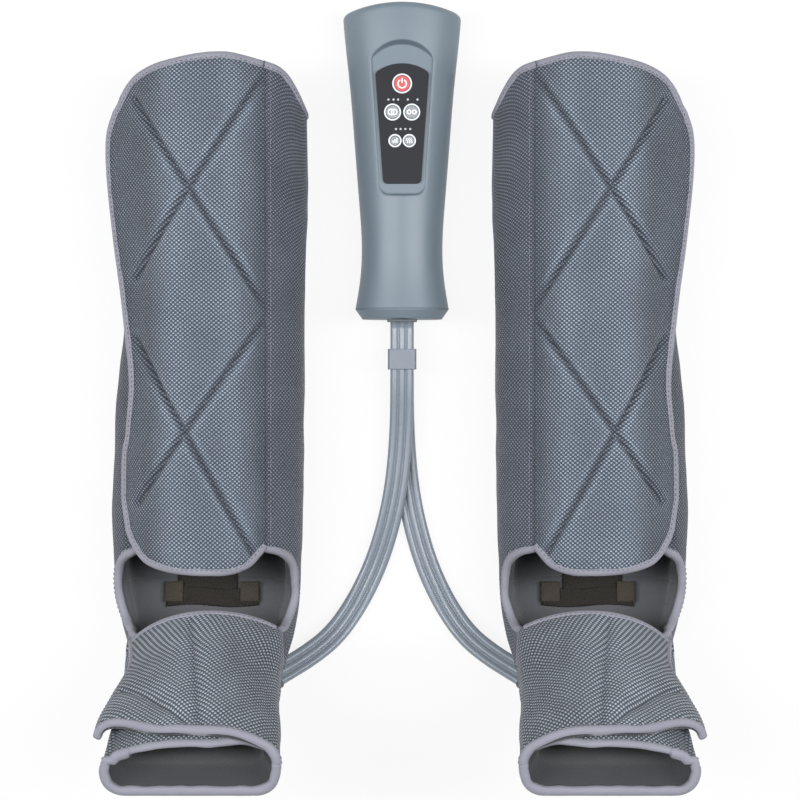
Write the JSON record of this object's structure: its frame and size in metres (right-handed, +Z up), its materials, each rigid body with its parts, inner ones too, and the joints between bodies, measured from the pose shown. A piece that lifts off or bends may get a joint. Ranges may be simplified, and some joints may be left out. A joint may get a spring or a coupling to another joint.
{
  "type": "foot and calf massager",
  "caption": "Pair of padded leg wraps with opening calf and instep flaps, joined by flat hose ribbons to a hand controller with push buttons that holds the air pump.",
  "frame": {"origin": "middle of the lying pair on the table, measured without the hoses", "axes": "+X across from the left wrap to the right wrap, +Y from the feet to the knees, +Z up"},
  "size_m": [0.4086, 0.531, 0.2096],
  "materials": {
    "cover_fabric": "padded woven cover, slate blue-grey",
    "flap_fabric": "quilted spacer mesh, slate blue-grey",
    "foot_fabric": "fine dotted mesh, slate blue-grey",
    "binding_tape": "folded tape, pale lilac-grey",
    "lining_fabric": "brushed lining, dark grey",
    "closure_fabric": "hook and loop tape",
    "band_fabric": "woven band, dark brown",
    "bladder_film": "welded air cell film",
    "shell_plastic": "satin, pale blue-grey",
    "panel_plastic": "satin dark grey",
    "power_plastic": "satin, dusty red",
    "button_plastic": "satin grey",
    "ring_plastic": "pale grey",
    "light_plastic": "translucent white",
    "board_laminate": "green laminate",
    "inner_plastic": "black",
    "motor_steel": "plated can",
    "eccentric_brass": "turned",
    "screw_steel": "zinc plated",
    "grommet_rubber": "grey",
    "hose_vinyl": "soft vinyl, pale blue-grey",
    "clip_plastic": "pale blue-grey"
  },
  "bodies": {
    "base": {"air_manifold": "inner_plastic", "air_valves": "inner_plastic", "button_rings": "ring_plastic", "control_board": "board_laminate", "control_panel": "panel_plastic", "controller_end_cap": "shell_plastic", "controller_front_shell": "shell_plastic", "controller_rear_shell": "shell_plastic", "hose_clip": "clip_plastic", "hose_grommet": "grommet_rubber", "indicator_lights": "light_plastic", "left_ankle_binding": "binding_tape", "left_calf_bladder": "bladder_film", "left_calf_cover": "cover_fabric", "left_calf_lining": "lining_fabric", "left_foot_bladder": "bladder_film", "left_foot_cover": "foot_fabric", "left_heel_band": "band_fabric", "left_heel_cup": "cover_fabric", "left_hose": "hose_vinyl", "left_hose_entry": "binding_tape", "left_toe_binding": "binding_tape", "power_inlet": "inner_plastic", "pump_head": "inner_plastic", "pump_motor": "motor_steel", "push_switches": "inner_plastic", "right_ankle_binding": "binding_tape", "right_calf_bladder": "bladder_film", "right_calf_cover": "cover_fabric", "right_calf_lining": "lining_fabric", "right_foot_bladder": "bladder_film", "right_foot_cover": "foot_fabric", "right_heel_band": "band_fabric", "right_heel_cup": "cover_fabric", "right_hose": "hose_vinyl", "right_hose_entry": "binding_tape", "right_toe_binding": "binding_tape", "shell_screws": "screw_steel"},
    "left_calf_flap_body": {"left_calf_flap": "flap_fabric", "left_calf_flap_binding": "binding_tape", "left_calf_hook_strip": "closure_fabric"},
    "left_calf_underlap_body": {"left_calf_underlap": "lining_fabric", "left_calf_loop_patch": "closure_fabric"},
    "left_foot_flap_body": {"left_foot_flap": "foot_fabric", "left_foot_flap_binding": "binding_tape"},
    "left_foot_underlap_body": {"left_foot_underlap": "lining_fabric"},
    "right_calf_flap_body": {"right_calf_flap": "flap_fabric", "right_calf_flap_binding": "binding_tape", "right_calf_hook_strip": "closure_fabric"},
    "right_calf_underlap_body": {"right_calf_underlap": "lining_fabric", "right_calf_loop_patch": "closure_fabric"},
    "right_foot_flap_body": {"right_foot_flap": "foot_fabric", "right_foot_flap_binding": "binding_tape"},
    "right_foot_underlap_body": {"right_foot_underlap": "lining_fabric"},
    "power_button_body": {"power_button": "power_plastic"},
    "combine_button_body": {"combine_button": "button_plastic"},
    "separate_button_body": {"separate_button": "button_plastic"},
    "intensity_button_body": {"intensity_button": "button_plastic"},
    "heat_button_body": {"heat_button": "button_plastic"},
    "pump_eccentric_body": {"pump_eccentric": "eccentric_brass"}
  },
  "joints": [
    {"name": "left_calf_flap_hinge", "type": "hinge", "parent": "base", "child": "left_calf_flap_body", "pos_m": [-0.092, 0.04732, 0.08624], "axis": [0, 0.9998, 0.0215], "range_deg": [0, 150]},
    {"name": "left_calf_underlap_hinge", "type": "hinge", "parent": "base", "child": "left_calf_underlap_body", "pos_m": [-0.174, 0.04187, 0.08094], "axis": [0, -1, 0], "range_deg": [0, 75]},
    {"name": "left_foot_flap_hinge", "type": "hinge", "parent": "base", "child": "left_foot_flap_body", "pos_m": [-0.0804, -0.21468, 0.1413], "axis": [-0.0606, 0.4207, -0.9052], "range_deg": [0, 100]},
    {"name": "left_foot_underlap_hinge", "type": "hinge", "parent": "base", "child": "left_foot_underlap_body", "pos_m": [-0.16981, -0.20727, 0.15955], "axis": [-0.0394, -0.4955, 0.8677], "range_deg": [0, 50]},
    {"name": "right_calf_flap_hinge", "type": "hinge", "parent": "base", "child": "right_calf_flap_body", "pos_m": [0.092, 0.04732, 0.08624], "axis": [0, -0.9998, -0.0215], "range_deg": [0, 150]},
    {"name": "right_calf_underlap_hinge", "type": "hinge", "parent": "base", "child": "right_calf_underlap_body", "pos_m": [0.174, 0.04187, 0.08094], "axis": [0, 1, 0], "range_deg": [0, 75]},
    {"name": "right_foot_flap_hinge", "type": "hinge", "parent": "base", "child": "right_foot_flap_body", "pos_m": [0.0804, -0.21468, 0.1413], "axis": [-0.0606, -0.4207, 0.9052], "range_deg": [0, 100]},
    {"name": "right_foot_underlap_hinge", "type": "hinge", "parent": "base", "child": "right_foot_underlap_body", "pos_m": [0.16981, -0.20727, 0.15955], "axis": [-0.0394, 0.4955, -0.8677], "range_deg": [0, 50]},
    {"name": "power_button_press", "type": "slide", "parent": "base", "child": "power_button_body", "axis": [0, 0, -1], "range_m": [0, 0.0009], "stiffness_N_per_m": 250},
    {"name": "combine_button_press", "type": "slide", "parent": "base", "child": "combine_button_body", "axis": [0, 0, -1], "range_m": [0, 0.0009], "stiffness_N_per_m": 250},
    {"name": "separate_button_press", "type": "slide", "parent": "base", "child": "separate_button_body", "axis": [0, 0, -1], "range_m": [0, 0.0009], "stiffness_N_per_m": 250},
    {"name": "intensity_button_press", "type": "slide", "parent": "base", "child": "intensity_button_body", "axis": [0, 0, -1], "range_m": [0, 0.0009], "stiffness_N_per_m": 250},
    {"name": "heat_button_press", "type": "slide", "parent": "base", "child": "heat_button_body", "axis": [0, 0, -1], "range_m": [0, 0.0009], "stiffness_N_per_m": 250},
    {"name": "pump_eccentric_spin", "type": "hinge", "parent": "base", "child": "pump_eccentric_body", "pos_m": [0.0015, 0.1915, 0.0146], "axis": [0, 1, 0], "continuous": true}
  ],
  "couplings": [
    {"joint": "left_calf_underlap_hinge", "follows": "left_calf_flap_hinge", "ratio": 0.5},
    {"joint": "left_foot_underlap_hinge", "follows": "left_foot_flap_hinge", "ratio": 0.5},
    {"joint": "right_calf_underlap_hinge", "follows": "right_calf_flap_hinge", "ratio": 0.5},
    {"joint": "right_foot_underlap_hinge", "follows": "right_foot_flap_hinge", "ratio": 0.5}
  ]
}
